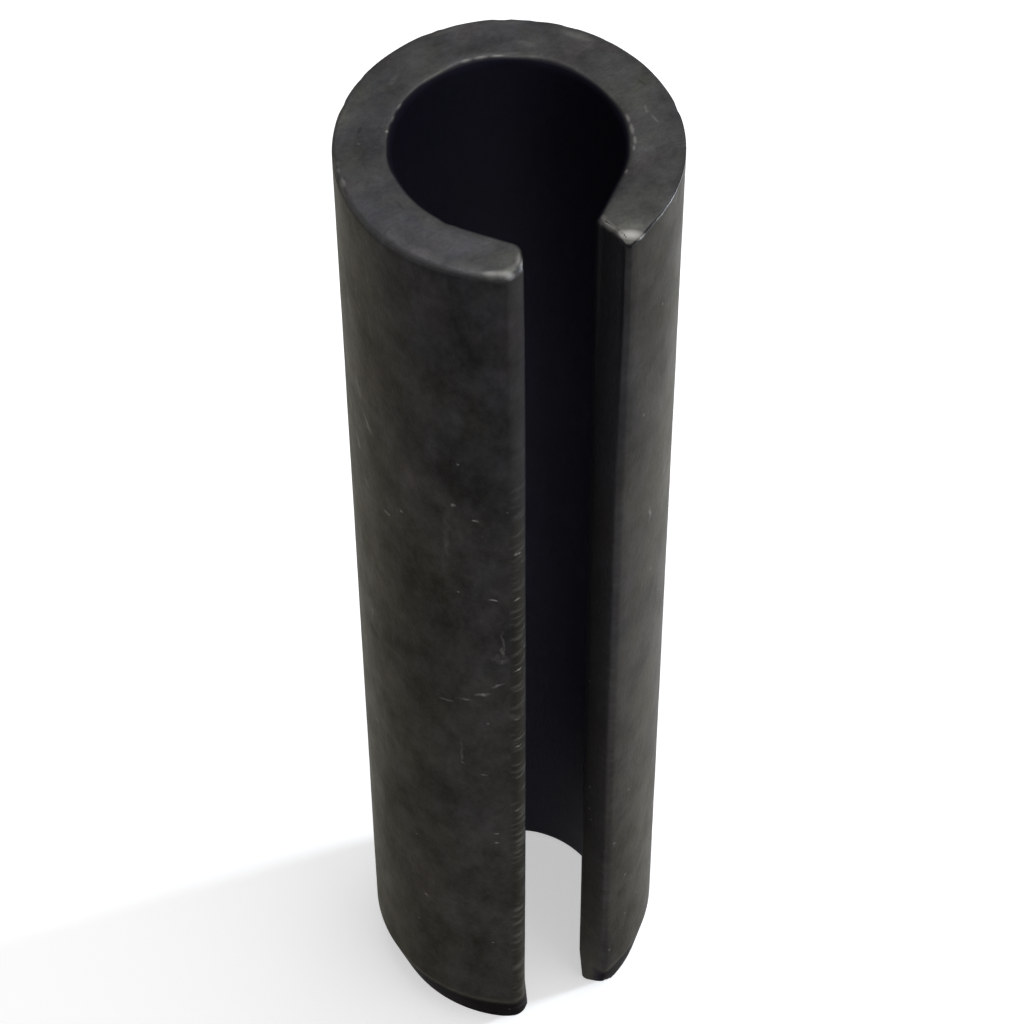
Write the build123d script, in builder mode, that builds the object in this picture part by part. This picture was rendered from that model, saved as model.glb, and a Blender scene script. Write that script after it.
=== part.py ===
"""Slotted spring pin, heavy duty, for an 8 mm hole: one strip of spring steel rolled into an open tube.

The pin stands on its chamfered end. The origin is on its axis at that end, +Z runs up the pin,
and the slot between the strip's two lips opens towards -Y. All lengths are in millimetres.
"""

import os
from math import cos, radians, sin, sqrt, tan

from build123d import *

# Driving dimensions of the pin
hole_diameter = 8.0  # the drilled hole that the pin is driven into
squeeze = 0.7  # how much wider than its hole the tube is before it is driven in
wall = 1.5  # thickness of the strip
length = 36.0
slot_width = 2.1  # between the lips, at the middle of the wall
lip_face_angle = 25  # degrees that each lip's sheared face leans off the slot's middle plane
lip_flat_angle = 45  # degrees round from the slot where the bore goes straight on to the lip

# Edges of the strip: the side that the shear enters is drawn over, the side that it leaves is crisp
left_lip_inner_round = 0.45
left_lip_outer_round = 0.4
right_lip_inner_round = 0.25
right_lip_outer_round = 0.25

# Foot: a long shallow chamfer leads the pin into its hole
chamfer_length = 1.7
chamfer_clearance = 0.1  # how much smaller than the hole the foot's rim is
foot_bore_break = 0.25  # 45 degree break inside the foot

# Driven end: left at full diameter, with its corners tumbled off
head_round = 0.1

# Worked out from the values above
outer_radius = (hole_diameter + squeeze) / 2
bore_radius = outer_radius - wall
middle_radius = outer_radius - wall / 2
foot_radius = (hole_diameter - chamfer_clearance) / 2
foot_bore_radius = bore_radius + foot_bore_break
face_angle = radians(lip_face_angle)
flat_angle = radians(lip_flat_angle)

# The two sheared faces cross the middle of the wall a slot apart, and their planes meet in the bore
lip_middle = Vector(slot_width / 2, -sqrt(middle_radius**2 - (slot_width / 2) ** 2))
slot_root = Vector(0, lip_middle.Y + lip_middle.X / tan(face_angle))

# The strip's last stretch isn't rolled: the bore leaves its circle at a tangent and runs flat to the lip
flat_start = Vector(bore_radius * sin(flat_angle), -bore_radius * cos(flat_angle))
flats_meeting = Vector(0, -bore_radius / cos(flat_angle))


def on_lip_face(side, reach):
    """A point on the sheared face of the left lip (side -1) or the right lip (side 1), out from the slot's root."""
    return Vector(side * reach * sin(face_angle), slot_root.Y - reach * cos(face_angle))


def outside_reach(radius):
    """How far out from the slot's root the sheared faces meet a circle round the axis."""
    return slot_root.Y * cos(face_angle) + sqrt(radius**2 - (slot_root.Y * sin(face_angle)) ** 2)


flat_reach = (bore_radius + slot_root.Y * cos(flat_angle)) / cos(flat_angle - face_angle)
cutter_reach = 2 * outer_radius


def outside_profile(radius):
    """The tube's outside at one height, with the slot cut down to its root and the lips' outer corners rounded."""
    with BuildSketch() as profile:
        Circle(radius)
        with BuildLine():
            Polyline(slot_root, on_lip_face(1, cutter_reach), on_lip_face(-1, cutter_reach), close=True)
        make_face(mode=Mode.SUBTRACT)
        for side, corner_round in ((-1, left_lip_outer_round), (1, right_lip_outer_round)):
            corner = on_lip_face(side, outside_reach(radius))
            fillet(profile.vertices().sort_by_distance(corner)[0], corner_round)
    return profile.sketch


with BuildPart() as spring_pin:
    # Outside: the chamfer draws in from the shank to the foot's rim, and the lips' corners keep their rounds
    with BuildSketch():
        add(outside_profile(foot_radius))
    with BuildSketch(Plane.XY.offset(chamfer_length)) as shank_profile:
        add(outside_profile(outer_radius))
    loft(ruled=True)
    extrude(shank_profile.sketch, amount=length - chamfer_length)

    # Bore, with its flat stretch behind each lip
    with BuildSketch():
        Circle(bore_radius)
        with BuildLine():
            Polyline((0, 0), flat_start, flats_meeting, (-flat_start.X, flat_start.Y), close=True)
        make_face()
    extrude(amount=length, mode=Mode.SUBTRACT)

    # The lips' corners at the bore
    for side, corner_round in ((-1, left_lip_inner_round), (1, right_lip_inner_round)):
        corner = on_lip_face(side, flat_reach)
        fillet(spring_pin.edges().filter_by(Axis.Z).sort_by_distance(corner)[0], corner_round)

    # Tumbled corners all round the driven end
    fillet(spring_pin.faces().sort_by(Axis.Z)[-1].edges(), head_round)

    # Break round the inside of the foot, a cone whose tip is on the axis
    with BuildSketch(Plane.XZ):
        with BuildLine():
            Polyline((0, 0), (foot_bore_radius, 0), (0, foot_bore_radius), close=True)
        make_face()
    revolve(axis=Axis.Z, mode=Mode.SUBTRACT)

spring_pin.part.label = "spring_pin"

os.makedirs("parts", exist_ok=True)
export_step(spring_pin.part, "parts/spring_pin.step")
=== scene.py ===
"""A slotted spring pin for an 8 mm hole, standing on its tapered foot on a pale floor.

The pin is one strip of spring steel, sheared to width and rolled into an open tube. This script dresses
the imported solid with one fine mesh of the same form, with the corners that tumbling leaves, the dings of
a bulk bin and the torn grain of the sheared lips.

The pin's lengths are in millimetres up to the point where a mesh or a place is handed to Blender, in
metres. The lengths of the floor and the lamps are in metres throughout. A heading is in degrees round the
pin from the middle of its slot, and positive to the right for someone who faces the slot.
"""

import math
import random

import bpy
import numpy as np
from mathutils import Euler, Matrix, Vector, noise


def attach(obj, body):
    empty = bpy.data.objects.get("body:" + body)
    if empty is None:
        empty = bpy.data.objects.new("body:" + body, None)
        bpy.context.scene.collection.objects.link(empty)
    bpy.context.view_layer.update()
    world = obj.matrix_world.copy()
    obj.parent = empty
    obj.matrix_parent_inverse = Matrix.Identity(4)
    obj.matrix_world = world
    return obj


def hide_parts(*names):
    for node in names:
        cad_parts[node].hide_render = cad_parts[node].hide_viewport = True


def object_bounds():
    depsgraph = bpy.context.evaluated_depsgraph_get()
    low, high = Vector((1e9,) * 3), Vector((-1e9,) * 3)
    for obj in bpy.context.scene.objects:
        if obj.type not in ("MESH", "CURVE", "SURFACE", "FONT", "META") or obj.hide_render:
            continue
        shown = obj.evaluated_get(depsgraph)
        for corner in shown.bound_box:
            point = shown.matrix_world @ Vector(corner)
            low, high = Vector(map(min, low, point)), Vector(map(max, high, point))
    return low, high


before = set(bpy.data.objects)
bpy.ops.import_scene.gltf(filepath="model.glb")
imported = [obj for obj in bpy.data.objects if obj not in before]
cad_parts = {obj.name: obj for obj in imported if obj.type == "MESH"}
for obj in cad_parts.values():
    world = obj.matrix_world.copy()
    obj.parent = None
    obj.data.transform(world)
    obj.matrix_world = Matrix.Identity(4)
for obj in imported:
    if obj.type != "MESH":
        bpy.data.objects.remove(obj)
cad_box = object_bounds()

MM = 0.001

# The pin's sizes, the same as its solid's
PIN_LENGTH = 36.0
OUTER_RADIUS = 4.35
WALL = 1.5
SLOT_WIDTH = 2.1
LIP_FACE_ANGLE = math.radians(25)
LIP_FLAT_ANGLE = math.radians(45)
LEFT_LIP_ROUNDS = {"inner": 0.45, "outer": 0.40}
RIGHT_LIP_ROUNDS = {"inner": 0.25, "outer": 0.20}
FOOT_TAPER_LENGTH = 1.7
FOOT_RADIUS = 3.95
FOOT_BORE_BREAK = 0.25

BORE_RADIUS = OUTER_RADIUS - WALL
MIDDLE_RADIUS = OUTER_RADIUS - WALL / 2

# The sheared faces cross the middle of the wall a slot apart, and their planes meet at the slot's root
ROOT_Y = SLOT_WIDTH / 2 / math.tan(LIP_FACE_ANGLE) - math.sqrt(MIDDLE_RADIUS ** 2 - (SLOT_WIDTH / 2) ** 2)

# Rounds that tumbling in a barrel leaves: the lips stand proud, so they lose the most
HEAD_ROUND = 0.09
HEAD_BORE_ROUND = 0.19
HEAD_LIP_ROUND = 0.16
FOOT_ROUND = 0.07
FOOT_LIP_ROUND = 0.28

# No rim is rounded evenly: how much the round differs along it, and over what length
UNEVEN_RIM = 0.05
UNEVEN_RIM_PATCH = 0.9

# Rims that knocks have rounded more: heading, half the stretch in degrees, and the extra round. Where that
# is below 0, the rim was spared and is rounded less
INNER_HEAD_KNOCKS = [
    (60, 8, 0.03), (87, 20, 0.05), (135, 25, 0.12), (175, 22, 0.13), (-130, 40, 0.06), (-101, 13, 0.05),
]
OUTER_HEAD_KNOCKS = [
    (-60, 55, 0.13), (-24, 13, 0.13), (-104, 6, 0.06), (-94, 4, 0.06), (60, 42, -0.05), (150, 14, 0.03),
]
OUTER_FOOT_KNOCKS = [(-84, 17, 0.17), (-20, 9, 0.21), (22, 9, 0.12), (70, 20, 0.04), (160, 25, 0.06)]

# Corners of the right lip knocked off flat, at the driven end and at the foot: a place on the flat (heading,
# radius and height), the way it faces (heading and degrees up), its reach, and how soft its edges are
KNOCKED_FLAT = [
    ((23.0, 4.20, 35.87), (-6, 63), 1.2, 0.025),
    ((24.0, 3.70, 0.0), (-22, -37), 1.3, 0.030),
]

# The taper is ground a little off the pin's axis, towards the right of the slot
FOOT_OFFSET = np.array([0.095, -0.05])

# The slot isn't even: it opens towards the driven end, and the left lip bows into it along the middle.
# Pairs of a height and how far the lip stands back from its true place there
RIGHT_LIP_BACK = [(0, 0.0), (27, 0.0), (33, 0.07), (36, 0.07)]
LEFT_LIP_BACK = [(0, -0.01), (6, -0.04), (14, -0.065), (27, -0.065), (33, -0.05), (36, -0.02)]

# The left lip's outer corner is worn rounder towards the driven end
LEFT_CORNER_WORN = [(0, 0.0), (16, 0.0), (24, 0.02), (31, 0.07), (36, 0.08)]


# ---------------------------------------------------------------- the strip's outline, seen from above

# Steps along half a sheared face, a lip's round, a lip's flat stretch and the tube between the lips
FACE_STEPS = 4
ROUND_STEPS = 6
FLAT_STEPS = 8
TUBE_STEPS = 128

# A rim is rounded by moving its points towards an outline that lies this far inside the metal. That
# outline's own rounds shrink with the depth, down to the sharpest
DEEPEST_INSET = 0.5
SHARPEST_ROUND = 0.02


def arc_points(centre, radius, start, end, steps):
    """Points round part of a circle, both ends included."""
    turns = np.linspace(start, end, steps + 1)
    return np.stack([centre[0] + radius * np.cos(turns), centre[1] + radius * np.sin(turns)], 1)


def line_points(start, end, steps):
    """Points along a straight line, both ends included."""
    share = np.linspace(0, 1, steps + 1)[:, None]
    return np.array(start) * (1 - share) + np.array(end) * share


def lip_edges(rounds, outside_radius, inset):
    """The outer and the inner edge of the right lip, each from the middle of its sheared face to the tube."""
    inner, outer = [max(size - inset, SHARPEST_ROUND) for size in (rounds["inner"], rounds["outer"])]
    along = np.array([math.sin(LIP_FACE_ANGLE), -math.cos(LIP_FACE_ANGLE)])
    into = np.array([math.cos(LIP_FACE_ANGLE), math.sin(LIP_FACE_ANGLE)])
    flat_out = np.array([math.sin(LIP_FLAT_ANGLE), -math.cos(LIP_FLAT_ANGLE)])
    root = np.array([0, ROOT_Y]) + inset * into

    # The outer round touches the face and the tube's outside
    start = root + outer * into
    reach = (outside_radius - inset - outer) ** 2 - start @ start + (start @ along) ** 2
    outer_centre = start + (math.sqrt(reach) - start @ along) * along

    # The inner round touches the face and the flat stretch of the bore
    start = root + inner * into
    outer_touch = outer_centre - outer * into
    inner_centre = start + (BORE_RADIUS + inset + inner - start @ flat_out) / (along @ flat_out) * along
    inner_touch = inner_centre - inner * into

    face_middle = (outer_touch + inner_touch) / 2
    outer_heading = math.atan2(outer_centre[1], outer_centre[0])
    flat_heading = LIP_FLAT_ANGLE - math.pi / 2
    outer_edge = [
        line_points(face_middle, outer_touch, FACE_STEPS),
        arc_points(outer_centre, outer, LIP_FACE_ANGLE - math.pi, outer_heading, ROUND_STEPS)[1:],
        arc_points((0, 0), outside_radius - inset, outer_heading, flat_heading, FLAT_STEPS)[1:],
    ]
    inner_start = LIP_FACE_ANGLE + math.pi
    inner_end = LIP_FLAT_ANGLE + math.pi / 2
    inner_edge = [
        line_points(face_middle, inner_touch, FACE_STEPS),
        arc_points(inner_centre, inner, inner_start, inner_end, ROUND_STEPS)[1:],
        line_points(inner_centre - inner * flat_out, (BORE_RADIUS + inset) * flat_out, FLAT_STEPS)[1:],
    ]
    return np.concatenate(outer_edge), np.concatenate(inner_edge)


def strip_outline(outside_radius, inset=0.0):
    """The closed outline: round the outside from the left lip to the right one, and back through the bore."""
    mirror = np.array([-1, 1])
    left_outer, left_inner = [edge * mirror for edge in lip_edges(LEFT_LIP_ROUNDS, outside_radius, inset)]
    right_outer, right_inner = lip_edges(RIGHT_LIP_ROUNDS, outside_radius, inset)
    start = -math.pi / 2 - LIP_FLAT_ANGLE
    end = start - 2 * (math.pi - LIP_FLAT_ANGLE)
    outside = arc_points((0, 0), outside_radius - inset, start, end, TUBE_STEPS)[1:-1]
    bore = arc_points((0, 0), BORE_RADIUS + inset, start, end, TUBE_STEPS)[1:-1]
    outer_path = np.concatenate([left_outer, outside, right_outer[::-1]])
    inner_path = np.concatenate([left_inner, bore, right_inner[::-1]])
    return np.concatenate([outer_path, inner_path[-2:0:-1]])


def inward_normals(loop):
    """Unit directions into the metal at the points of a closed outline."""
    ahead = np.roll(loop, -1, 0) - loop
    behind = loop - np.roll(loop, 1, 0)
    along = ahead / np.linalg.norm(ahead, axis=1)[:, None] + behind / np.linalg.norm(behind, axis=1)[:, None]
    into = np.stack([along[:, 1], -along[:, 0]], 1)
    return into / np.linalg.norm(into, axis=1)[:, None]


shank_outline = strip_outline(OUTER_RADIUS)
foot_outline = strip_outline(FOOT_RADIUS) + FOOT_OFFSET
inward = inward_normals(shank_outline)
inset_way = (strip_outline(OUTER_RADIUS, DEEPEST_INSET) - shank_outline) / DEEPEST_INSET
COLUMNS = len(shank_outline)
LIP_STEPS = FACE_STEPS + ROUND_STEPS + FLAT_STEPS
PAIRS = COLUMNS // 2 + 1


# ---------------------------------------------------------------- which part of the strip each column is on

def both_lips(from_face):
    """Spreads a list of values, from the middle of a sheared face outwards, over all four lip edges."""
    edge = np.zeros(PAIRS)
    edge[:LIP_STEPS + 1] = from_face
    edge = np.maximum(edge, edge[::-1])
    return np.concatenate([edge, edge[-2:0:-1]])


def smooth_step(value, start, end):
    """0 before start, 1 after end, and a smooth rise between."""
    share = np.clip((value - start) / (end - start), 0, 1)
    return share * share * (3 - 2 * share)


def read_off(pairs, places):
    """The values at the given places, straight between the pairs of a place and a value."""
    return np.interp(places, *zip(*pairs))


def soft_noise(points, size):
    """Soft noise from 0 to 1 at points in millimetres. size is how wide its patches are."""
    return np.array([0.5 + 0.5 * noise.noise(point) for point in (points / size).tolist()])


face_share = np.concatenate([np.ones(FACE_STEPS), np.linspace(1, 0, ROUND_STEPS + 1), np.zeros(FLAT_STEPS)])
corner_turn = np.linspace(0, math.pi, ROUND_STEPS + 1)
corner_share = np.concatenate([np.zeros(FACE_STEPS), np.sin(corner_turn), np.zeros(FLAT_STEPS)])
on_lip = both_lips(face_share)
on_corner = both_lips(corner_share)
column = np.arange(COLUMNS)
off_face = np.minimum(column % (PAIRS - 1), -column % (PAIRS - 1)) / FACE_STEPS
outer_half = (column < PAIRS) * np.minimum(off_face, 1)
on_bore = (column >= PAIRS) * (1 - on_lip)
on_right = shank_outline[:, 0] > 0
on_left = ~on_right
from_slot = np.degrees(np.arctan2(shank_outline[:, 0], -shank_outline[:, 1]))


def knocks(places, columns):
    """Extra round along a rim. columns is how far each column is on that rim, from 0 to 1."""
    extra = np.zeros(COLUMNS)
    for heading, half, depth in places:
        away = np.abs((from_slot - heading + 180) % 360 - 180)
        extra += depth * (1 - smooth_step(away, 0, half))
    return extra * columns


around = np.concatenate([shank_outline, np.zeros((COLUMNS, 1))], 1)
uneven = UNEVEN_RIM * (soft_noise(around, UNEVEN_RIM_PATCH) - 0.5)
head_round = HEAD_ROUND + (HEAD_LIP_ROUND - HEAD_ROUND) * on_lip + uneven
head_round += (HEAD_BORE_ROUND - HEAD_ROUND) * on_bore
head_round += knocks(INNER_HEAD_KNOCKS, on_bore) + knocks(OUTER_HEAD_KNOCKS, outer_half)
foot_round = FOOT_ROUND + (FOOT_LIP_ROUND - FOOT_ROUND) * on_lip + uneven / 2
foot_round += knocks(OUTER_FOOT_KNOCKS, outer_half)


# ---------------------------------------------------------------- rows of points from the foot to the head

# Rows of points over the foot's round, the head's, the taper and the shank
FOOT_ROUND_ROWS = 4
HEAD_ROUND_ROWS = 6
TAPER_ROWS = 16
SHANK_ROWS = 260

foot_turn = np.linspace(0, math.pi / 2, FOOT_ROUND_ROWS + 1)[:-1, None]
head_turn = np.linspace(0, math.pi / 2, HEAD_ROUND_ROWS + 1)[1:, None]
taper_share = np.linspace(0, 1, TAPER_ROWS + 1)[:-1, None]
shank_share = np.linspace(0, 1, SHANK_ROWS + 1)[:, None]
straight = np.zeros((TAPER_ROWS + SHANK_ROWS + 1, COLUMNS))
every_column = np.zeros(COLUMNS)

height = np.concatenate([
    foot_round * (1 - np.cos(foot_turn)),
    foot_round + (FOOT_TAPER_LENGTH - foot_round) * taper_share,
    FOOT_TAPER_LENGTH + (PIN_LENGTH - head_round - FOOT_TAPER_LENGTH) * shank_share,
    PIN_LENGTH - head_round * (1 - np.sin(head_turn)),
])
inset = np.concatenate([
    foot_round * (1 - np.sin(foot_turn)),
    straight,
    head_round * (1 - np.cos(head_turn)),
])

# Which way is into the metal at each point: how much of it is sideways, and how much is up
sideways = np.concatenate([np.sin(foot_turn) + every_column, straight + 1, np.cos(head_turn) + every_column])
upward = np.concatenate([np.cos(foot_turn) + every_column, straight, -np.sin(head_turn) + every_column])
ROWS = len(height)

tapered = np.clip(height / FOOT_TAPER_LENGTH, 0, 1)[:, :, None]
plan = foot_outline * (1 - tapered) + shank_outline * tapered + inset_way * inset[:, :, None]

# The break inside the foot is a cone round the pin's axis
radius = np.linalg.norm(plan, axis=2)
break_radius = BORE_RADIUS + FOOT_BORE_BREAK - height + inset
plan = plan * (np.maximum(radius, break_radius) / radius)[:, :, None]

lip_backs = [
    (RIGHT_LIP_BACK, on_lip * on_right),
    (LEFT_LIP_BACK, on_lip * on_left),
    (LEFT_CORNER_WORN, on_corner * outer_half * on_left),
]
for pairs, columns in lip_backs:
    back = read_off(pairs, height) * columns
    plan = plan + inward * back[:, :, None]

body = np.concatenate([plan, height[:, :, None]], 2)
body_into = np.concatenate([inward * sideways[:, :, None], upward[:, :, None]], 2)


# ---------------------------------------------------------------- the wall's two end faces

CAP_STEPS = 8


def cap_grid(row):
    """Points across an end face between each pair of outer and inner edge points, without the edges."""
    outer = body[row, 1:PAIRS - 1]
    inner = body[row, :PAIRS - 1:-1]
    share = (np.arange(1, CAP_STEPS) / CAP_STEPS)[None, :, None]
    return (outer[:, None, :] * (1 - share) + inner[:, None, :] * share).reshape(-1, 3)


def cap_faces(row, first, faces_up):
    """Faces across an end face. first is the index of the first point of its cap_grid."""
    def point(pair, step):
        if step == 0 or pair in (0, PAIRS - 1):
            return row * COLUMNS + pair
        if step == CAP_STEPS:
            return row * COLUMNS + COLUMNS - pair
        return first + (pair - 1) * (CAP_STEPS - 1) + step - 1

    faces = []
    for pair in range(PAIRS - 1):
        for step in range(CAP_STEPS):
            near = [point(pair, step), point(pair + 1, step)]
            far = [point(pair + 1, step + 1), point(pair, step + 1)]
            corners = list(dict.fromkeys(near + far))
            if len(corners) > 2:
                faces.append(corners[::-1] if faces_up else corners)
    return faces


foot_cap = cap_grid(0)
head_cap = cap_grid(ROWS - 1)
up = np.array([0.0, 0.0, 1.0])
points = np.concatenate([body.reshape(-1, 3), foot_cap, head_cap])
into = np.concatenate([body_into.reshape(-1, 3), foot_cap * 0 + up, head_cap * 0 - up])


def everywhere(values, on_caps=0.0):
    """Spreads values by column, or by row and column, over all points, with one value on both end faces."""
    rows = np.broadcast_to(values, (ROWS, COLUMNS)).reshape(-1)
    return np.concatenate([rows, np.full(len(foot_cap) + len(head_cap), on_caps)])


# ---------------------------------------------------------------- uneven metal, all of it sunk inwards

# How wide each kind of unevenness is, and how deep
WAVE_SIZE = 4.0
WAVE_DEPTH = 0.010
DIMPLE_SIZE = 0.8
DIMPLE_DEPTH = 0.006
END_FACE_SIZE = 1.1
END_FACE_DEPTH = 0.022

# The shear tears short ledges across each lip, finer along the pin than across the wall
TEAR_SIZE = np.array([0.9, 0.9, 0.28])
TEAR_DEPTH = 0.012

# Pairs of a height and how badly the left lip is torn there, and the share of that on the right lip
TORN_SHARE = [(0, 0.3), (5, 0.7), (9, 0.4), (14, 0.8), (18, 0.5), (23, 0.5), (27, 0.2), (31, 0.05)]
RIGHT_LIP_TORN = 0.3

lip = everywhere(on_lip)
corner = everywhere(on_corner)
end_face = everywhere(upward ** 2, on_caps=1.0)
torn = everywhere(np.where(on_right, RIGHT_LIP_TORN, 1.0)) * read_off(TORN_SHARE, points[:, 2])
torn *= np.maximum(lip, corner) * (1 - end_face)

sink = WAVE_DEPTH * soft_noise(points, WAVE_SIZE)
sink += DIMPLE_DEPTH * soft_noise(points, DIMPLE_SIZE)
sink += END_FACE_DEPTH * end_face * soft_noise(points, END_FACE_SIZE)
sink += TEAR_DEPTH * torn * soft_noise(points, TEAR_SIZE)

# Dings: how many there are, the headings between which they lie, and the least and the most of their
# reach and of their depth
WALL_DINGS = (90, (20, 340), (0.15, 0.45), (0.006, 0.018))
RIM_DINGS = (26, (25, 335), (0.12, 0.30), (0.010, 0.030))
END_FACE_DINGS = (14, (25, 335), (0.12, 0.35), (0.008, 0.020))
WALL_DING_HEIGHTS = (1.0, PIN_LENGTH - 0.5)
END_FACE_DING_RADII = (BORE_RADIUS + 0.2, OUTER_RADIUS - 0.2)
DING_SEED = 8


def polar(heading, radius, height):
    """A place in millimetres from a heading, a radius and a height."""
    turn = math.radians(heading)
    return np.array([radius * math.sin(turn), -radius * math.cos(turn), height])


def on_any_wall(headings):
    """A random place on the outside of the wall."""
    return polar(random.uniform(*headings), OUTER_RADIUS, random.uniform(*WALL_DING_HEIGHTS))


def on_any_rim(headings):
    """A random place on one of the driven end's two rims."""
    rim = random.choice([OUTER_RADIUS, BORE_RADIUS])
    return polar(random.uniform(*headings), rim, PIN_LENGTH)


def on_any_end_face(headings):
    """A random place on the face of the driven end."""
    return polar(random.uniform(*headings), random.uniform(*END_FACE_DING_RADII), PIN_LENGTH)


random.seed(DING_SEED)
dings = []
for kind, pick in ((WALL_DINGS, on_any_wall), (RIM_DINGS, on_any_rim), (END_FACE_DINGS, on_any_end_face)):
    count, headings, reaches, depths = kind
    dings += [(pick(headings), random.uniform(*reaches), random.uniform(*depths)) for _ in range(count)]
for place, reach, depth in dings:
    nearness = np.clip(1 - np.sum((points - place) ** 2, axis=1) / reach ** 2, 0, 1)
    sink += depth * nearness ** 2

points = points + into * sink[:, None]

for place, (heading, rise), reach, softness in KNOCKED_FLAT:
    flat_place = polar(*place)
    flat_faces = polar(heading, math.cos(math.radians(rise)), math.sin(math.radians(rise)))
    over = (points - flat_place) @ flat_faces
    nearness = 1 - smooth_step(np.linalg.norm(points - flat_place, axis=1), reach / 2, reach)
    taken = (over + np.sqrt(over ** 2 + softness ** 2)) / 2 * nearness
    points = points - flat_faces * taken[:, None]

# The right lip's corner is crisper than the solid's, so its very tip is held level with the solid's
points[:, 1] = np.maximum(points[:, 1], cad_box[0][1] / MM)


# ---------------------------------------------------------------- the mesh

faces = []
for row in range(ROWS - 1):
    low, high = row * COLUMNS, (row + 1) * COLUMNS
    for here in range(COLUMNS):
        beside = (here + 1) % COLUMNS
        faces.append([low + beside, low + here, high + here, high + beside])
faces += cap_faces(0, body.size // 3, faces_up=False)
faces += cap_faces(ROWS - 1, body.size // 3 + len(foot_cap), faces_up=True)

pin_mesh = bpy.data.meshes.new("spring_pin_dressed")
pin_mesh.from_pydata((points * MM).tolist(), [], faces)
pin_mesh.validate()
pin_mesh.shade_smooth()
pin = bpy.data.objects.new("spring_pin_dressed", pin_mesh)
bpy.context.scene.collection.objects.link(pin)

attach(pin, "root")
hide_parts("spring_pin")


# ---------------------------------------------------------------- where the steel differs

# Heights between which the taper's painted shade fades out
TAPER_SHADE_FADE = (FOOT_TAPER_LENGTH - 0.5, FOOT_TAPER_LENGTH + 0.05)

# Stretches of the rims painted in shade, besides the left lip: pairs of a heading and how much. Their rounds
# keep the darker colour of the wall, lip or bore and lose their bare edge, which darkens the lamps'
# highlights
SHADED_OUTER_RIM = [(24, 0.0), (28, 1.0), (120, 1.0), (150, 0.0)]
SHADED_BORE_RIM = [(-170, 0.0), (-155, 1.0), (-95, 1.0), (-75, 0.0)]

# How far a rim has turned towards an end face, from 0 to 1, while the bore's colour ends and the end face's
# starts, and how much later that is on a rim painted in shade. The bore's dark colour runs far up its rim's
# round as painted shade over the lamps' highlights there
BORE_FADE = (0.65, 0.97)
END_FACE_FADE = (0.15, 0.45)
SHADED_RIM_DELAY = 0.5

# The left lip's outer corner is darkened as painted shade, less so near the driven end: pairs of a height and
# how dark it is
CORNER_SHADE_BY_HEIGHT = [(22, 1.0), (29, 0.3)]

# Painted shade on the rims: their rounds keep a darker colour and lose their bare edge
rim_painted_shade = read_off(SHADED_OUTER_RIM, from_slot) * outer_half + read_off(SHADED_BORE_RIM, from_slot) * on_bore
rim_painted_shade = everywhere(rim_painted_shade + on_lip * on_left)
outside = everywhere(outer_half)
rounding = everywhere(4 * sideways ** 2 * upward ** 2)
left_corner_shade = everywhere(on_corner * outer_half * on_left) * read_off(CORNER_SHADE_BY_HEIGHT, points[:, 2])
zones = {
    "lip": lip * (1 - end_face),
    "torn": torn * outside,
    "left_corner_shade": left_corner_shade * (1 - end_face),
    "bore": everywhere(on_bore) * (1 - smooth_step(end_face, *BORE_FADE)),
    "end_face": smooth_step(end_face - SHADED_RIM_DELAY * rim_painted_shade, *END_FACE_FADE),
    "taper": outside * (1 - smooth_step(points[:, 2], *TAPER_SHADE_FADE)) * (1 - end_face),
    "rim": rounding * (1 - rim_painted_shade),
}
for name, values in zones.items():
    layer = pin_mesh.attributes.new(name, "FLOAT", "POINT")
    layer.data.foreach_set("value", values.astype(np.float32))


# ---------------------------------------------------------------- marks on the steel

# Each is an oval: heading, height, half its size round the pin and half its size up it, tilt in degrees
# (left end down is positive), and how light it is, or how dark where that is below 0. First the broad ones,
# where the scale of the heat treatment came out thicker or was rubbed, and three that are painted light
# and shade: a pale one down the right of the slot and two dark ones down the left and front
SCALE_PATCHES_AND_PAINTED_LIGHT = [
    # Long ones, up the pin
    (-37, 29.5, 1.7, 8.5, 0, -0.75), (-64, 29.0, 0.9, 4.5, 0, 0.25), (-30, 12.5, 1.6, 4.5, 0, 0.45),
    (-46, 9.0, 1.2, 5.0, 0, 0.25), (-88, 18.5, 1.1, 6.0, 0, 0.30), (-84, 32.0, 0.8, 2.2, 0, -0.30),
    (-62, 23.5, 1.0, 2.6, 0, -0.30), (-70, 8.5, 1.1, 3.5, 0, -0.15), (30, 14.0, 0.9, 5.0, 0, 0.30),
    # The long pale one at heading 34, last on the next line, is painted light down the right of the slot
    (33, 3.0, 1.2, 3.0, 0, -0.35), (40, 33.5, 1.2, 2.0, 0, -0.15), (34, 19.0, 2.6, 14.0, 0, 0.90),
    # Small ones
    (-55, 30.6, 0.55, 1.3, 12, 0.9), (-51, 28.8, 0.40, 0.7, -10, 0.8), (-60.5, 27.2, 0.45, 0.6, 0, 0.9),
    (-47, 27.0, 0.40, 0.6, 30, 0.6), (-66, 33.5, 0.5, 0.5, 0, 0.5), (-36, 28.2, 0.5, 0.5, 0, -0.5),
    (-52, 25.6, 0.6, 0.7, 0, 0.5), (-40, 23.0, 0.6, 1.6, 0, -0.5), (-62, 19.0, 0.8, 1.2, 0, -0.5),
    (-33, 17.0, 0.7, 1.1, 0, 0.6), (-50, 12.0, 0.6, 0.9, 0, 0.6), (-38, 5.0, 0.8, 1.6, 0, -0.4),
    # Broad dark ones, over most of the pin's length: painted shade down the left and front of the pin
    (-76, 14.0, 1.6, 12.0, 0, -0.30), (-52, 18.0, 3.4, 20.0, 0, -0.35),
]

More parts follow.
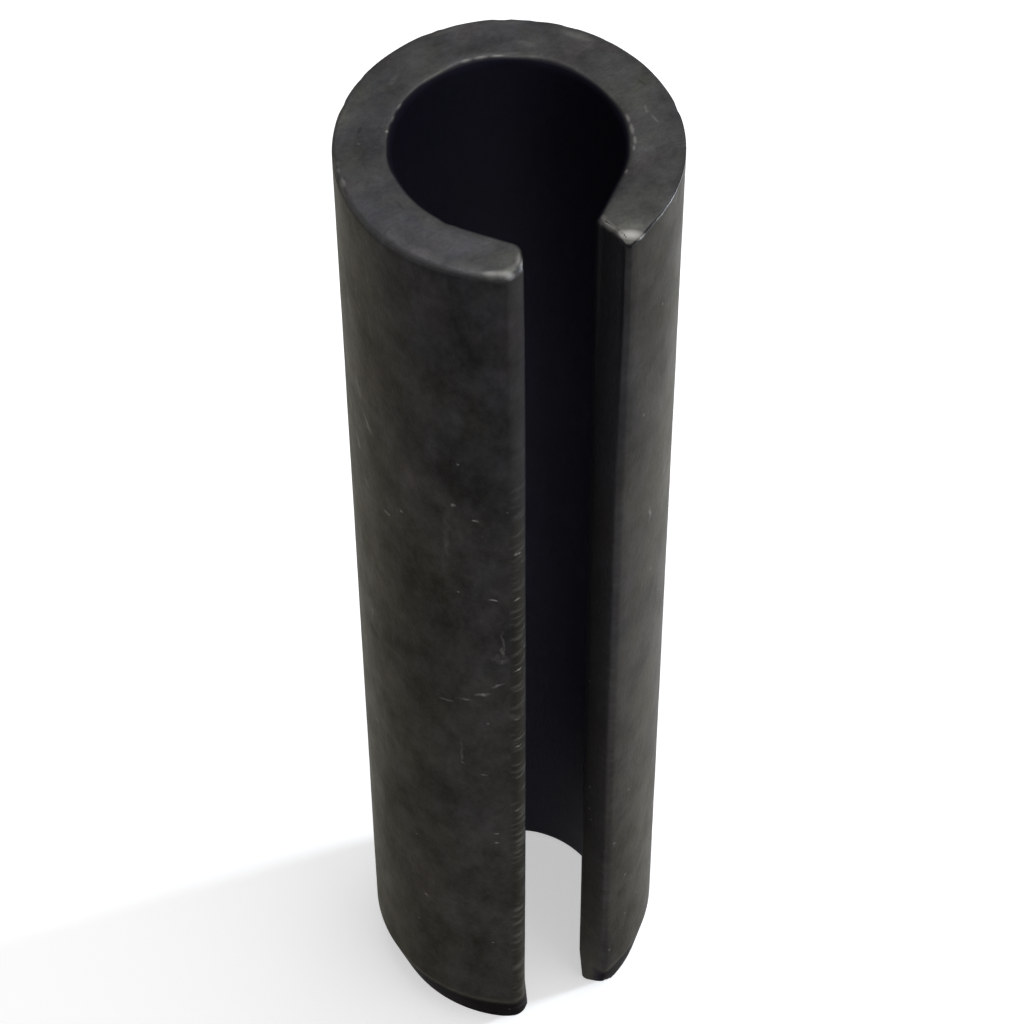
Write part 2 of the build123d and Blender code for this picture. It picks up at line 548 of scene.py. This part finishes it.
# On the driven end: heading, radius, half sizes along the rim and across the wall, tilt, and how light
END_PATCHES = [
    (-45, 3.6, 2.6, 1.5, 0, 1.0), (25, 3.7, 0.9, 1.2, 0, 0.5), (-120, 3.6, 1.4, 1.0, 0, -0.4),
    (160, 4.15, 1.7, 0.55, 0, 0.8), (-130, 4.15, 1.0, 0.4, 0, 0.5), (-85, 4.1, 1.2, 0.5, 0, 0.7),
    (45, 3.5, 1.2, 0.8, 0, -0.3),
]

# Then scuffs, scratches, specks of bare metal and dark pits, on the wall and on the driven end
WALL_MARKS = [
    # Bare specks and small scuffs to the left of the slot
    (-34.6, 26.3, 0.10, 0.06, 10, 0.25), (-42.0, 26.8, 0.09, 0.07, 0, 0.23),
    (-71.1, 24.9, 0.12, 0.09, 0, 0.30), (-28.8, 22.9, 0.16, 0.05, -8, 0.33),
    (-32.6, 14.4, 0.12, 0.05, 0, 0.30), (-28.4, 11.4, 0.12, 0.05, 8, 0.28),
    (-28.0, 10.9, 0.10, 0.04, 0, 0.25), (-59.6, 6.65, 0.09, 0.06, 0, 0.30),
    (-30.8, 5.2, 0.07, 0.06, 0, 0.23),
    # A thin scratch up the pin, and a nick across it
    (-41.6, 15.4, 0.05, 0.65, 4, 0.09), (-41.3, 14.8, 0.14, 0.05, -35, 0.17),
    # Two dark dents side by side
    (-46.0, 7.15, 0.22, 0.06, -12, -0.42), (-41.0, 7.20, 0.24, 0.06, 14, -0.39),
    # A scratch round the pin that turns up beside the slot, in five strokes
    (-46.5, 17.75, 0.30, 0.06, 8, 0.17), (-40.0, 18.05, 0.30, 0.06, 10, 0.15),
    (-33.0, 18.45, 0.28, 0.07, 14, 0.23), (-27.5, 19.0, 0.28, 0.07, 32, 0.25),
    (-25.5, 20.8, 0.06, 0.80, 0, 0.15),
    # Slanting rubs far to the left
    (-97.0, 29.3, 0.14, 0.55, 30, 0.15), (-87.0, 29.0, 0.12, 0.50, 24, 0.17),
    (-81.4, 28.0, 0.12, 0.50, 28, 0.17), (-96.6, 27.5, 0.14, 0.50, 26, 0.15),
    (-89.3, 26.5, 0.12, 0.45, 30, 0.20), (-84.0, 25.2, 0.10, 0.30, 30, 0.15),
    (-91.0, 32.0, 0.12, 0.40, 24, 0.12), (-93.0, 22.0, 0.12, 0.40, 20, 0.15),
    # A round rub, and pits and rubs below it
    (-86.0, 19.2, 0.20, 0.22, 0, 0.15), (-88.0, 13.4, 0.16, 0.14, 0, -0.32),
    (-86.0, 13.7, 0.14, 0.08, 20, 0.20), (-78.0, 10.5, 0.10, 0.25, 10, -0.21),
    # Nicks in the left lip's outer corner
    (-20.0, 24.9, 0.14, 0.07, 0, 0.35), (-20.5, 22.9, 0.12, 0.06, 0, 0.35),
    (-20.0, 19.6, 0.15, 0.06, 0, 0.40), (-20.5, 17.3, 0.14, 0.06, 0, 0.38),
    (-20.0, 15.9, 0.10, 0.05, 0, 0.30), (-20.5, 12.6, 0.12, 0.05, 0, 0.28),
    # A long faint streak and a soft rub
    (-45.4, 25.2, 0.14, 1.70, -2, 0.04), (-26.5, 20.2, 0.30, 0.30, 0, 0.10),
    # Pits and scratches to the right of the slot
    (32.7, 6.29, 0.14, 0.16, 0, -0.49), (30.6, 3.57, 0.10, 0.10, 0, -0.42),
    (28.0, 8.4, 0.12, 0.08, 0, -0.35), (34.0, 9.6, 0.22, 0.14, 0, -0.21),
    (27.5, 20.5, 0.05, 0.90, 0, -0.17), (36.0, 24.0, 0.08, 0.50, 4, 0.12),
]
END_MARKS = [
    # Bare spots along the bore's rim
    (84, 3.05, 0.20, 0.06, 0, 0.55), (77, 3.06, 0.22, 0.07, 0, 0.65), (70, 3.09, 0.18, 0.06, 0, 0.60),
    (65, 3.06, 0.12, 0.05, 0, 0.50), (50, 2.98, 0.10, 0.07, 0, 0.70), (178, 3.04, 0.20, 0.07, 0, 0.50),
    (171, 3.04, 0.24, 0.07, 0, 0.55), (163, 3.03, 0.22, 0.06, 0, 0.50), (-138, 3.00, 0.16, 0.05, 0, 0.40),
    (-129.5, 2.99, 0.16, 0.05, 0, 0.40), (-121, 3.03, 0.07, 0.06, 0, 0.50),
    # Nicks in the outer rim
    (-104, 4.23, 0.12, 0.07, 0, 0.35), (-101, 4.25, 0.12, 0.07, 0, 0.45), (-95, 4.23, 0.20, 0.09, 0, 0.60),
    # The left lip's corner: bare metal, partly a painted highlight
    (-24, 4.20, 0.50, 0.16, 0, 0.40), (-18.7, 3.75, 0.12, 0.26, 0, 0.35), (-28, 4.22, 0.30, 0.14, 0, 0.50),
    # The right lip's corner, knocked off flat, and the edge beside it: bare metal, partly a painted highlight
    (23.0, 4.16, 0.46, 0.17, -45, 1.00), (20.8, 3.27, 0.12, 0.16, 0, 0.40),
    (19.8, 3.61, 0.12, 0.24, 0, 0.45),
    # Two short scratches
    (81, 3.69, 0.22, 0.05, 20, 0.25), (87, 3.58, 0.18, 0.05, -10, 0.25),
    # Broad faint rubs along both rims, partly painted highlight on the rims' rounds
    (133, 4.08, 0.55, 0.16, 0, 0.25), (-50, 4.08, 0.70, 0.22, 0, 0.13), (-38, 4.10, 0.70, 0.24, 0, 0.15),
    (-62, 4.10, 0.60, 0.16, 0, 0.06), (180, 4.20, 0.80, 0.10, 0, 0.18), (158, 4.18, 0.60, 0.10, 0, 0.15),
    (-128, 4.20, 0.60, 0.08, 0, 0.14), (160, 3.08, 0.8, 0.08, 0, 0.12),
    # Faint scratches across the wall, pale and dark
    (-150, 3.62, 0.30, 0.10, 10, 0.12), (150, 3.45, 0.35, 0.12, -15, 0.12),
    (100, 3.9, 0.25, 0.06, 8, -0.25), (-120, 3.7, 0.25, 0.07, -8, -0.30), (-75, 3.3, 0.30, 0.06, 0, -0.20),
    (185, 3.85, 0.28, 0.10, 0, -0.20),
]

# How far the ovals on the wall, and the broad ones there, reach into the metal and out of it
MARK_REACH = 0.5
PATCH_REACH = 1.5


def on_wall(heading, height, round_pin, up_pin, tilt, strength, reach=MARK_REACH):
    """An oval on the outside of the wall: its centre, its turn round x, y and z, half sizes and strength."""
    turn = (0, math.radians(-tilt), math.radians(heading))
    return tuple(polar(heading, OUTER_RADIUS, height)), turn, (round_pin, reach, up_pin), strength


def on_driven_end(heading, radius, along, across, tilt, strength):
    """The same for an oval on the face of the driven end."""
    turn = (0, 0, math.radians(heading + tilt))
    halves = (along, across, MARK_REACH / 2)
    return tuple(polar(heading, radius, PIN_LENGTH)), turn, halves, strength


# ---------------------------------------------------------------- materials

# Widths of the patterns in millimetres. Three widths are those along x and y, and up the pin
CLOUD_SIZE = np.array([1.3, 1.3, 2.0])
TINT_SIZE = np.array([1.3, 1.3, 3.2])
BLUE_SIZE = 6.0
TICK_SIZE = np.array([0.7, 0.7, 0.20])

# The scale's own grain is finer: this is as coarse as it needs to be to show, and longer up the pin
GRAIN_SIZE = 0.11
GRAIN_STRETCH = np.array([1.0, 1.0, 2.4])

# Specks: the spacing of their cells, half a speck's width, how many times as wide it is where it has faded
# out, and the number from 0 to 1 that a cell's own random one has to pass for the cell to have a speck
SPECK_SPACING = 0.55
SPECK_SIZE = 0.035
SPECK_EDGE = 1.6
SPECK_CHOICE = 0.8

# Patches and wall marks have ragged edges: over what width a place wanders, and the size of its wandering
MARK_WANDER = 0.28
WANDER_SIZE = 3 * GRAIN_SIZE

# Noise runs from 0 to 1, mostly near the middle: where in it each pattern starts and where it is full
CLOUD_RANGE = (0.28, 0.72)
OLIVE_RANGE = (0.50, 0.62)
MAUVE_RANGE = (0.50, 0.38)
BLUE_RANGE = (0.50, 0.62)
TICK_RANGE = (0.50, 0.70)
BREAK_RANGE = (0.38, 0.62)
DULL_RANGE = (0.3, 0.7)

# Tempering scale, thick and thin, and how much a patch shifts it from one to the other
THICK_SCALE = "#161618"
THIN_SCALE = "#343335"
PATCH_SHIFT = 0.5

# The taper's painted shade, the left lip corner's painted shade, and the lips and the end faces at their
# darkest and palest. The end faces' grey is partly their own burnish and partly painted light from above
TAPER_PAINTED_SHADE = "#0f0e0e"
CORNER_SHADE_COLOUR = "#101010"
LIP_COLOURS = ("#242327", "#343336")
END_FACE_AND_TOP_LIGHT_COLOURS = ("#48494a", "#727272")

# The bore's thick dark scale, darkened further at its mouths as painted shade, and palest between two heights
BORE_SCALE_AND_SHADE_COLOURS = ("#181723", "#41404f")
BORE_PALE_FROM = PIN_LENGTH * 0.4
BORE_PALE_TO = PIN_LENGTH * 0.65

# Faint tints that multiply the scale's colour
OLIVE_TINT = "#fffef3"
MAUVE_TINT = "#fff8f6"
BLUE_TINT = "#f3f5ff"
TINT_STRENGTH = 0.9

# Metal rubbed bare, and pits
BARE_METAL = "#b0aeaa"
PIT_COLOUR = "#0a0a0a"

# How strongly each finish, and the left lip corner's painted shade, shows where it is strongest
CORNER_SHADE_STRENGTH = 0.75
TICK_STRENGTH = 0.15
SPECK_STRENGTH = 0.16
RIM_STRENGTH = 0.10

# How much of a mark on the wall is left where the grain breaks it up most
LEAST_UNBROKEN = 0.25

# How far out from its centre a mark stays full, from 0 to 1 at its edge
WALL_MARK_SOLID = 0.2
END_MARK_SOLID = 0.3

# How the finishes shine: the tint towards grazing angles, and the roughness, from thick scale to thin
BORE_METALLIC = 0.35
SCALE_EDGE = "#d8d5ca"
# The taper's greyer grazing tint is painted shade, like its dark colour
TAPER_SHADED_EDGE = "#b2b0b0"
BORE_EDGE = "#77778c"
SCALE_ROUGHNESS = (0.56, 0.46)
BORE_ROUGHNESS = 0.65
BARE_ROUGHNESS = 0.38

# Depth of the grain in millimetres, and how many times as deep the clouds are
GRAIN_DEPTH = 0.006
CLOUD_RELIEF = 3.0


def linear(colour):
    """An sRGB hex colour as linear red, green, blue and alpha."""
    parts = [int(colour[i:i + 2], 16) / 255 for i in (1, 3, 5)]
    return [c / 12.92 if c <= 0.04045 else ((c + 0.055) / 1.055) ** 2.4 for c in parts] + [1.0]


def add(tree, kind, feeds=(), **settings):
    """Adds a node, sets it, and fills its inputs with values or with other nodes' outputs.

    feeds is a dict by input name, or a list in the order of the inputs in use. Gives the first output in use.
    """
    made = tree.nodes.new("ShaderNode" + kind)
    for name, value in settings.items():
        setattr(made, name, value)
    inputs = [socket for socket in made.inputs if socket.enabled]
    names = [socket.name for socket in inputs]
    for key, feed in feeds.items() if isinstance(feeds, dict) else enumerate(feeds):
        socket = inputs[names.index(key)] if isinstance(key, str) else inputs[key]
        if isinstance(feed, bpy.types.NodeSocket):
            tree.links.new(feed, socket)
        else:
            socket.default_value = feed
    return next((socket for socket in made.outputs if socket.enabled), None)


def marks(tree, place, ovals, solid):
    """How light and how dark the given ovals make each place, each from 0 to 1.

    Each oval fades towards its edge. solid is the share of the way there over which it stays full.
    """
    light = dark = 0.0
    for centre, turn, halves, strength in ovals:
        local = add(tree, "Mapping", [place, centre, turn, halves], vector_type="TEXTURE")
        inside = add(tree, "TexGradient", [local], gradient_type="SPHERICAL").node.outputs["Fac"]
        near = add(tree, "MapRange", [inside, 0.0, 1.0 - solid, 0.0, abs(strength)])
        if strength > 0:
            light = add(tree, "Math", [light, near], operation="MAXIMUM")
        else:
            dark = add(tree, "Math", [dark, near], operation="MAXIMUM")
    return light, dark


def zone_colours(tree, place, zone, tone):
    """The colour of the scale on the wall, with the taper's painted shade, the lips, the end faces (lifted by
    painted light from above) and the bore (darkened at its mouths as painted shade) laid over it.

    tone runs from 0, where the scale is thick and dark, to 1, where it is thin.
    """
    colour = add(tree, "Mix", [tone, linear(THICK_SCALE), linear(THIN_SCALE)], data_type="RGBA")
    # The taper gets a painted shade colour
    colour = add(tree, "Mix", [zone["taper"], colour, linear(TAPER_PAINTED_SHADE)], data_type="RGBA")
    height = add(tree, "SeparateXYZ", [place]).node.outputs["Z"]
    # Painted shade: the bore's colour darkens towards both mouths
    below_head = add(tree, "MapRange", [height, PIN_LENGTH, BORE_PALE_TO, 0.0, 1.0])
    above_foot = add(tree, "MapRange", [height, 0.0, BORE_PALE_FROM, 0.0, 1.0])
    deep = add(tree, "Math", [below_head, above_foot], operation="MULTIPLY")
    bore_colour = add(tree, "Mix", [deep, *map(linear, BORE_SCALE_AND_SHADE_COLOURS)], data_type="RGBA")
    lip_colour = add(tree, "Mix", [tone, *map(linear, LIP_COLOURS)], data_type="RGBA")
    colour = add(tree, "Mix", [zone["lip"], colour, lip_colour], data_type="RGBA")
    # The end faces' grey: partly their own burnish, partly painted light from above
    end_colour = add(tree, "Mix", [tone, *map(linear, END_FACE_AND_TOP_LIGHT_COLOURS)], data_type="RGBA")
    colour = add(tree, "Mix", [zone["end_face"], colour, end_colour], data_type="RGBA")
    return add(tree, "Mix", [zone["bore"], colour, bore_colour], data_type="RGBA")


def tinted(tree, place, colour):
    """The colour with faint tints all over: olive and mauve apart from each other, and blue anywhere."""
    drawn_up = add(tree, "VectorMath", [place, tuple(1 / TINT_SIZE)], operation="MULTIPLY")
    tint = add(tree, "TexNoise", {"Vector": drawn_up, "Scale": 1.0, "Detail": 4.0})
    olive = add(tree, "MapRange", [tint, *OLIVE_RANGE, 0.0, TINT_STRENGTH])
    mauve = add(tree, "MapRange", [tint, *MAUVE_RANGE, 0.0, TINT_STRENGTH])
    blueness = add(tree, "TexNoise", {"Vector": place, "Scale": 1 / BLUE_SIZE, "Detail": 3.0})
    blue = add(tree, "MapRange", [blueness, *BLUE_RANGE, 0.0, TINT_STRENGTH])
    for amount, shade in ((olive, OLIVE_TINT), (mauve, MAUVE_TINT), (blue, BLUE_TINT)):
        colour = add(tree, "Mix", [amount, colour, linear(shade)], data_type="RGBA", blend_type="MULTIPLY")
    return colour


def ticks_and_specks(tree, place, zone):
    """Bare ticks across the lips' outer corners, where the shear tore the strip, and specks of bare metal."""
    flattened = add(tree, "VectorMath", [place, tuple(1 / TICK_SIZE)], operation="MULTIPLY")
    tearing = add(tree, "TexNoise", {"Vector": flattened, "Scale": 1.0, "Detail": 3.0})
    ticks = add(tree, "MapRange", [tearing, *TICK_RANGE, 0.0, TICK_STRENGTH])
    ticks = add(tree, "Math", [ticks, zone["torn"]], operation="MULTIPLY")

    size = SPECK_SIZE / SPECK_SPACING
    cells = add(tree, "TexVoronoi", {"Vector": place, "Scale": 1 / SPECK_SPACING})
    specks = add(tree, "MapRange", [cells, size * SPECK_EDGE, size, 0.0, SPECK_STRENGTH])
    choice = add(tree, "SeparateColor", [cells.node.outputs["Color"]])
    chosen = add(tree, "Math", [choice, SPECK_CHOICE], operation="GREATER_THAN")
    specks = add(tree, "Math", [specks, chosen], operation="MULTIPLY")
    return ticks, specks


def rubbed_and_pitted(tree, place, bent, zone, grain, small_marks):
    """How bare each place is rubbed, with some painted highlights on the driven end's corners and rims, and
    how dark it is pitted, each from 0 to 1.
    """
    wall_marks = [on_wall(*mark) for mark in WALL_MARKS]
    end_marks = [on_driven_end(*mark) for mark in END_MARKS]
    rubbed, pitted = marks(tree, bent, wall_marks, WALL_MARK_SOLID)
    bare_and_highlights, dented = marks(tree, place, end_marks, END_MARK_SOLID)
    broken = add(tree, "MapRange", [grain, *BREAK_RANGE, LEAST_UNBROKEN, 1.0])
    rubbed = add(tree, "Math", [rubbed, broken], operation="MULTIPLY")
    edges = add(tree, "Math", [zone["rim"], RIM_STRENGTH], operation="MULTIPLY")
    pitted = add(tree, "Math", [pitted, dented], operation="MAXIMUM")
    for brighter in (bare_and_highlights, edges, *small_marks):
        rubbed = add(tree, "Math", [rubbed, brighter], operation="MAXIMUM")
    out_of_bore = add(tree, "Math", [1.0, zone["bore"]], operation="SUBTRACT")
    rubbed = add(tree, "Math", [rubbed, out_of_bore], operation="MULTIPLY")
    return rubbed, pitted


def steel_material():
    """Spring steel, sheared, rolled, tempered and tumbled, with a film of oil.

    Tempering leaves a thin dark scale, cloudy and faintly tinted olive, mauve and blue. Tumbling burnishes
    the end faces to a lighter grey, rubs the corners and leaves specks of bare metal. The bore keeps a thick
    matte scale, which hides most of the metal's shine. Painted light and shade lies over this: the end faces
    are lifted further as painted light from above, a broad patch paints light down the right of the slot,
    and painted shade darkens the taper, the left lip's outer corner, the bore's mouths, some rims' rounds and
    the left and front of the wall. A few bare marks on the lips' corners and rims are partly painted
    highlights.
    """
    steel = bpy.data.materials.new("tempered_oiled_spring_steel")
    steel.use_nodes = True
    tree = steel.node_tree
    shader = tree.nodes["Principled BSDF"]

    coordinates = tree.nodes.new("ShaderNodeTexCoord").outputs["Object"]
    place = add(tree, "VectorMath", {"Vector": coordinates, "Scale": 1 / MM}, operation="SCALE")
    zone = {name: add(tree, "Attribute", attribute_name=name).node.outputs["Fac"] for name in zones}

    # Clouds of scale, from a millimetre and more down to the grain, under the broad patches of scale and of
    # painted light and shade
    drawn_up = add(tree, "VectorMath", [place, tuple(1 / CLOUD_SIZE)], operation="MULTIPLY")
    clouds = add(tree, "TexNoise", {"Vector": drawn_up, "Scale": 1.0, "Detail": 8.0, "Roughness": 0.76})
    wandering = add(tree, "TexNoise", {"Vector": place, "Scale": 1 / WANDER_SIZE, "Detail": 3.0})
    colourful = wandering.node.outputs["Color"]
    scale_and_shift = [(MARK_WANDER,) * 3, (-MARK_WANDER / 2,) * 3]
    wander = add(tree, "VectorMath", [colourful, *scale_and_shift], operation="MULTIPLY_ADD")
    bent = add(tree, "VectorMath", [place, wander], operation="ADD")
    patches = [on_wall(*patch, reach=PATCH_REACH) for patch in SCALE_PATCHES_AND_PAINTED_LIGHT]
    patches += [on_driven_end(*patch) for patch in END_PATCHES]
    pale, shady = marks(tree, bent, patches, 0.0)
    patchy = add(tree, "Math", [pale, shady], operation="SUBTRACT")
    tone = add(tree, "MapRange", [clouds, *CLOUD_RANGE, 0.0, 1.0], clamp=False)
    tone = add(tree, "Math", [patchy, PATCH_SHIFT, tone], operation="MULTIPLY_ADD")
    tone = add(tree, "Clamp", [tone])

    colour = zone_colours(tree, place, zone, tone)
    colour = tinted(tree, place, colour)
    # Painted shade along the left lip's outer corner
    corner_shading = add(tree, "Math", [zone["left_corner_shade"], CORNER_SHADE_STRENGTH], operation="MULTIPLY")
    colour = add(tree, "Mix", [corner_shading, colour, linear(CORNER_SHADE_COLOUR)], data_type="RGBA")

    # Bare and pitted places, the larger of them broken up by the grain
    small_marks = ticks_and_specks(tree, place, zone)
    drawn_up = add(tree, "VectorMath", [place, tuple(1 / GRAIN_STRETCH)], operation="MULTIPLY")
    grain = add(tree, "TexNoise", {
        "Vector": drawn_up, "Scale": 1 / GRAIN_SIZE, "Detail": 3.0, "Roughness": 0.6})
    rubbed, pitted = rubbed_and_pitted(tree, place, bent, zone, grain, small_marks)
    colour = add(tree, "Mix", [rubbed, colour, linear(BARE_METAL)], data_type="RGBA")
    colour = add(tree, "Mix", [pitted, colour, linear(PIT_COLOUR)], data_type="RGBA")
    tree.links.new(colour, shader.inputs["Base Color"])

    metallic = add(tree, "MapRange", [zone["bore"], 0.0, 1.0, 1.0, BORE_METALLIC])
    tree.links.new(metallic, shader.inputs["Metallic"])
    # Painted shade: a greyer grazing tint on the taper
    edge_tint = add(tree, "Mix", [zone["taper"], linear(SCALE_EDGE), linear(TAPER_SHADED_EDGE)], data_type="RGBA")
    edge_tint = add(tree, "Mix", [zone["bore"], edge_tint, linear(BORE_EDGE)], data_type="RGBA")
    tree.links.new(edge_tint, shader.inputs["Specular Tint"])
    dull = add(tree, "MapRange", [clouds, *DULL_RANGE, *SCALE_ROUGHNESS])
    dull = add(tree, "Mix", [zone["bore"], dull, BORE_ROUGHNESS])
    dull = add(tree, "Mix", [rubbed, dull, BARE_ROUGHNESS])
    tree.links.new(dull, shader.inputs["Roughness"])

    # Fine pitting of the scale
    relief = add(tree, "Math", [clouds, CLOUD_RELIEF, grain], operation="MULTIPLY_ADD")
    bump = add(tree, "Bump", {"Strength": 1.0, "Distance": GRAIN_DEPTH * MM, "Height": relief})
    tree.links.new(bump, shader.inputs["Normal"])
    return steel


pin_mesh.materials.append(steel_material())


# ---------------------------------------------------------------- floor, light and camera

FLOOR_HALF = 1.5
FLOOR_COLOUR = "#f4f4f4"
FLOOR_ROUGHNESS = 0.9
FLOOR_GLOW = 0.5
ROOM_LIGHT = 0.235
WHITE = "#ffffff"


def floor_material():
    """Matt white card, which glows a little to the camera and in reflections.

    The glow keeps it white to the eye while it takes the pin's shadow.
    """
    card = bpy.data.materials.new("pale_floor")
    card.use_nodes = True
    tree = card.node_tree
    shader = tree.nodes["Principled BSDF"]
    shader.inputs["Base Color"].default_value = linear(FLOOR_COLOUR)
    shader.inputs["Roughness"].default_value = FLOOR_ROUGHNESS
    shader.inputs["Specular IOR Level"].default_value = 0.0

    seen = tree.nodes.new("ShaderNodeLightPath").outputs
    direct = add(tree, "Math", [seen["Is Camera Ray"], seen["Is Glossy Ray"]], operation="MAXIMUM")
    at_all = add(tree, "Math", [direct, seen["Is Transmission Ray"]], operation="MAXIMUM")
    glow = add(tree, "Math", [at_all, FLOOR_GLOW], operation="MULTIPLY")
    shader.inputs["Emission Color"].default_value = linear(WHITE)
    tree.links.new(glow, shader.inputs["Emission Strength"])
    return card


floor_corners = [(-FLOOR_HALF, -FLOOR_HALF, 0), (FLOOR_HALF, -FLOOR_HALF, 0),
                 (FLOOR_HALF, FLOOR_HALF, 0), (-FLOOR_HALF, FLOOR_HALF, 0)]
floor_mesh = bpy.data.meshes.new("floor")
floor_mesh.from_pydata(floor_corners, [], [[0, 1, 2, 3]])
floor_mesh.materials.append(floor_material())
floor = bpy.data.objects.new("floor", floor_mesh)
bpy.context.scene.collection.objects.link(floor)

world = bpy.data.worlds.new("soft_white_room")
bpy.context.scene.world = world
world.use_nodes = True
background = world.node_tree.nodes["Background"]
background.inputs["Color"].default_value = linear(WHITE)
background.inputs["Strength"].default_value = ROOM_LIGHT


def soft_lamp(name, heading, rise, distance, size, power, colour=WHITE):
    """A square lamp that faces the pin's middle, from a heading round it and a rise in degrees above it."""
    light = bpy.data.lights.new(name, "AREA")
    light.size = size
    light.energy = power
    light.color = linear(colour)[:3]
    lamp = bpy.data.objects.new(name, light)
    bpy.context.scene.collection.objects.link(lamp)
    turn, lift = math.radians(heading), math.radians(rise)
    away = Vector((math.sin(turn) * math.cos(lift), -math.cos(turn) * math.cos(lift), math.sin(lift)))
    lamp.location = Vector((0, 0, PIN_LENGTH / 2 * MM)) + away * distance
    lamp.rotation_euler = away.to_track_quat("Z", "Y").to_euler()


soft_lamp("low_right_window", heading=85, rise=0, distance=0.3, size=0.034, power=4.4, colour="#e8f1fb")
soft_lamp("ceiling", heading=90, rise=72, distance=0.6, size=0.6, power=1.5)
soft_lamp("front_right", heading=30, rise=25, distance=0.5, size=0.35, power=0.4)

# Where the camera stands, in millimetres, how it is turned, in degrees, its lens and sensor, in millimetres,
# and the nearest that it sees, in metres
CAMERA_PLACE = (-23.305, -57.022, 101.865)
CAMERA_HEADING = -22.253
CAMERA_DOWN = 52.65
CAMERA_ROLL = -0.313
CAMERA_LENS = 128.93
CAMERA_SENSOR = 36.0
CAMERA_CLIP_START = 0.001

camera_data = bpy.data.cameras.new("camera")
camera_data.lens = CAMERA_LENS
camera_data.sensor_width = CAMERA_SENSOR
camera_data.clip_start = CAMERA_CLIP_START
camera = bpy.data.objects.new("camera", camera_data)
bpy.context.scene.collection.objects.link(camera)
camera.location = Vector(CAMERA_PLACE) * MM
aim = Euler((math.radians(90 - CAMERA_DOWN), 0, math.radians(CAMERA_HEADING)), "XYZ").to_quaternion()
roll = Euler((0, 0, math.radians(CAMERA_ROLL)), "XYZ").to_quaternion()
camera.rotation_euler = (aim @ roll).to_euler()
bpy.context.scene.camera = camera

bpy.context.scene.view_settings.view_transform = "Standard"
